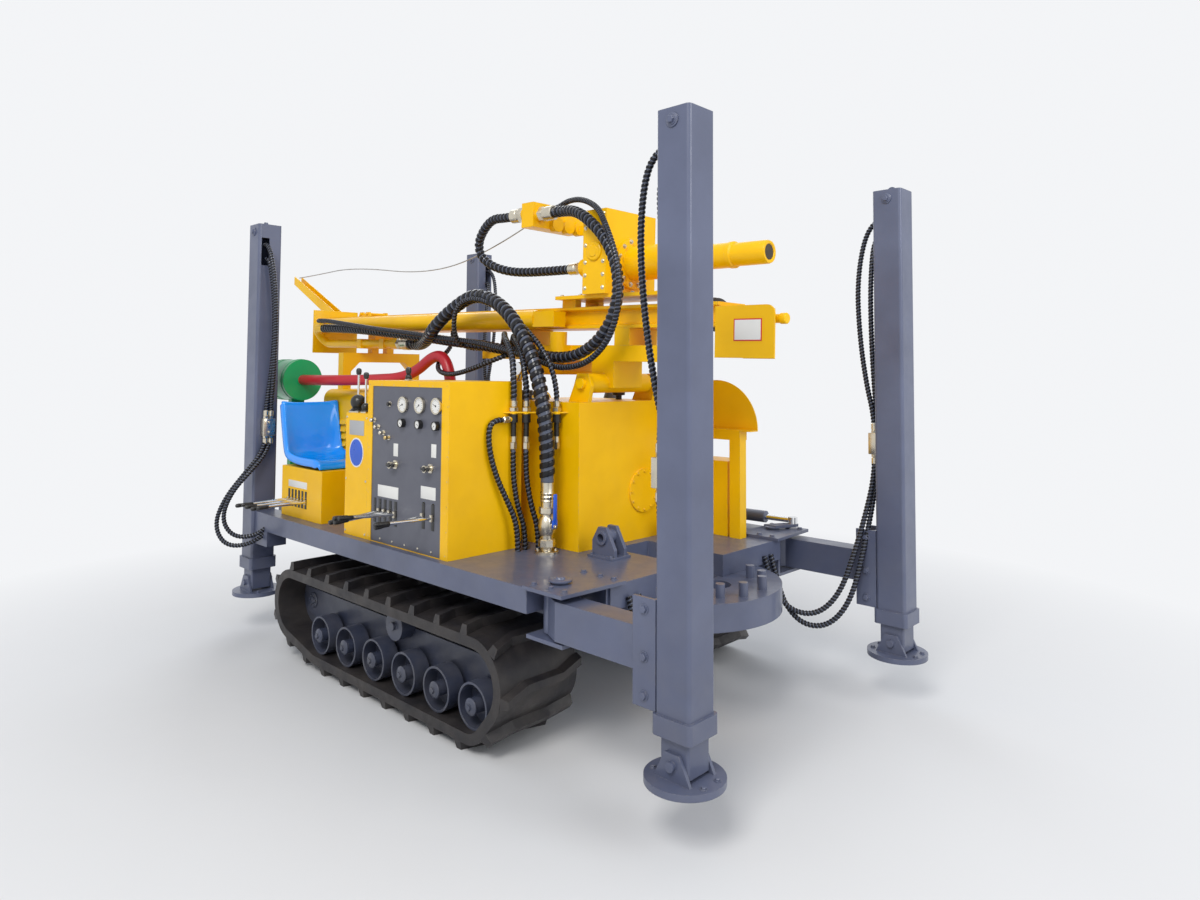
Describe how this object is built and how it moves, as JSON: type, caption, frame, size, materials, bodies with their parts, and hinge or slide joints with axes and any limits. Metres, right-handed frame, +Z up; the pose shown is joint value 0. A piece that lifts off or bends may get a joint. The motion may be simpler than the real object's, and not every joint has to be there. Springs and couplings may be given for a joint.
{
  "type": "crawler water well drilling rig",
  "caption": "Crawler-mounted water well drilling rig with a tilting mast, rotary head, round drill table and tall corner jacks.",
  "frame": {"origin": "centre of the footprint, on the ground under the tracks", "axes": "+X towards the drilling end, +Z up, the control side faces -Y"},
  "size_m": [4.4051, 1.9957, 2.3419],
  "materials": {
    "dark_iron": "black painted castings, dusty",
    "frame_paint": "semi-gloss slate blue-grey paint over rolled steel",
    "green_paint": "glossy green paint",
    "hose_rubber": "black hose in spiral plastic wrap",
    "panel_grey": "satin dark grey paint",
    "polished_rod": "hard-chromed rod",
    "red_hose": "red reinforced rubber hose",
    "seat_plastic": "moulded bright blue plastic",
    "track_rubber": "worn dusty rubber",
    "yellow_paint": "glossy yellow machine enamel",
    "zinc": "zinc-plated fittings"
  },
  "bodies": {
    "chassis": {"air_cleaner": "green_paint", "arm_brackets": "frame_paint", "control_cabinet": "yellow_paint", "control_panel": "panel_grey", "controls": "zinc", "cross_beams": "frame_paint", "deck_frame": "frame_paint", "drill_table": "frame_paint", "engine": "dark_iron", "engine_cover": "yellow_paint", "guard": "yellow_paint", "hose_bulkhead": "yellow_paint", "idler_far": "frame_paint", "idler_near": "frame_paint", "intake_hose": "red_hose", "leg_tube_rear_far": "frame_paint", "leg_tube_rear_near": "frame_paint", "lift_feet": "frame_paint", "mast_rest": "yellow_paint", "mast_stand": "yellow_paint", "oil_tank": "yellow_paint", "rear_leg_mounts": "frame_paint", "rollers_far": "frame_paint", "rollers_near": "frame_paint", "seat": "seat_plastic", "seat_box": "yellow_paint", "side_column": "yellow_paint", "sprocket_far": "dark_iron", "sprocket_near": "dark_iron", "swing_foot": "dark_iron", "track_far": "track_rubber", "track_frame_far": "frame_paint", "track_frame_near": "frame_paint", "track_near": "track_rubber", "valve_hoses": "hose_rubber", "water_valve": "zinc"},
    "tilt_frame": {"tilt_frame": "yellow_paint", "mast_guides": "yellow_paint", "mast_hoses": "hose_rubber"},
    "mast": {"mast_beam": "yellow_paint", "tail_jib": "yellow_paint", "feed_cylinder": "yellow_paint", "air_pipe": "yellow_paint"},
    "head": {"head_carriage": "yellow_paint", "head_gearbox": "yellow_paint", "head_motor": "dark_iron", "head_hoses": "hose_rubber"},
    "spindle": {"spindle": "yellow_paint"},
    "lift_barrels": {"lift_barrels": "frame_paint"},
    "lift_rods": {"lift_rods": "polished_rod"},
    "arm_near": {"swing_arm_near": "frame_paint", "leg_tube_front_near": "frame_paint"},
    "arm_far": {"swing_arm_far": "frame_paint", "leg_tube_front_far": "frame_paint"},
    "swing_barrel": {"swing_barrel": "dark_iron"},
    "swing_rod": {"swing_rod": "polished_rod"},
    "jack_front_near": {"leg_foot_front_near": "frame_paint"},
    "jack_front_far": {"leg_foot_front_far": "frame_paint"},
    "jack_rear_near": {"leg_foot_rear_near": "frame_paint"},
    "jack_rear_far": {"leg_foot_rear_far": "frame_paint"}
  },
  "joints": [
    {"name": "mast_tilt", "type": "hinge", "parent": "chassis", "child": "tilt_frame", "pos_m": [1.06292, 0.0825, 1.425], "axis": [0, 1, 0], "range_deg": [0, 88.8], "deforming": ["mast_hoses"]},
    {"name": "mast_slide", "type": "slide", "parent": "tilt_frame", "child": "mast", "axis": [0.9998, 0, -0.0209], "range_m": [0, 0.45]},
    {"name": "head_feed", "type": "slide", "parent": "mast", "child": "head", "axis": [-0.9998, 0, 0.0209], "range_m": [-0.2, 1.75], "deforming": ["head_hoses"]},
    {"name": "spindle_turn", "type": "hinge", "parent": "head", "child": "spindle", "pos_m": [1.9005, 0.0825, 1.96958], "axis": [0.9998, 0, -0.0209], "continuous": true},
    {"name": "lift_barrels_turn", "type": "hinge", "parent": "chassis", "child": "lift_barrels", "pos_m": [0.48191, 0.0825, 0.76], "axis": [0, 1, 0], "range_deg": [-1, 14]},
    {"name": "lift_rods_slide", "type": "slide", "parent": "lift_barrels", "child": "lift_rods", "axis": [0.3602, 0, 0.9329], "range_m": [0, 0.377]},
    {"name": "arm_near_swing", "type": "hinge", "parent": "chassis", "child": "arm_near", "pos_m": [1.45691, -0.6575, 0.59], "axis": [0, 0, -1], "range_deg": [0, 70]},
    {"name": "arm_far_swing", "type": "hinge", "parent": "chassis", "child": "arm_far", "pos_m": [1.45691, 0.8225, 0.59], "axis": [0, 0, 1], "range_deg": [0, 70]},
    {"name": "swing_barrel_turn", "type": "hinge", "parent": "chassis", "child": "swing_barrel", "pos_m": [1.05191, 0.8825, 0.7323], "axis": [0, 0, 1], "range_deg": [-2, 4]},
    {"name": "swing_rod_slide", "type": "slide", "parent": "swing_barrel", "child": "swing_rod", "axis": [0.9979, 0.0644, 0], "range_m": [-0.126, 0]},
    {"name": "jack_front_near_slide", "type": "slide", "parent": "arm_near", "child": "jack_front_near", "axis": [0, 0, -1], "range_m": [0, 1.3]},
    {"name": "jack_front_far_slide", "type": "slide", "parent": "arm_far", "child": "jack_front_far", "axis": [0, 0, -1], "range_m": [0, 1.3]},
    {"name": "jack_rear_near_slide", "type": "slide", "parent": "chassis", "child": "jack_rear_near", "axis": [0, 0, -1], "range_m": [0, 1.3]},
    {"name": "jack_rear_far_slide", "type": "slide", "parent": "chassis", "child": "jack_rear_far", "axis": [0, 0, -1], "range_m": [0, 1.3]}
  ],
  "couplings": [
    {"joint": "lift_barrels_turn", "follows": "mast_tilt", "ratio": 0.14058},
    {"joint": "lift_rods_slide", "follows": "mast_tilt", "m_per_rad": 0.24171},
    {"joint": "swing_barrel_turn", "follows": "arm_far_swing", "ratio": 0.012339},
    {"joint": "swing_rod_slide", "follows": "arm_far_swing", "m_per_rad": -0.10144}
  ]
}
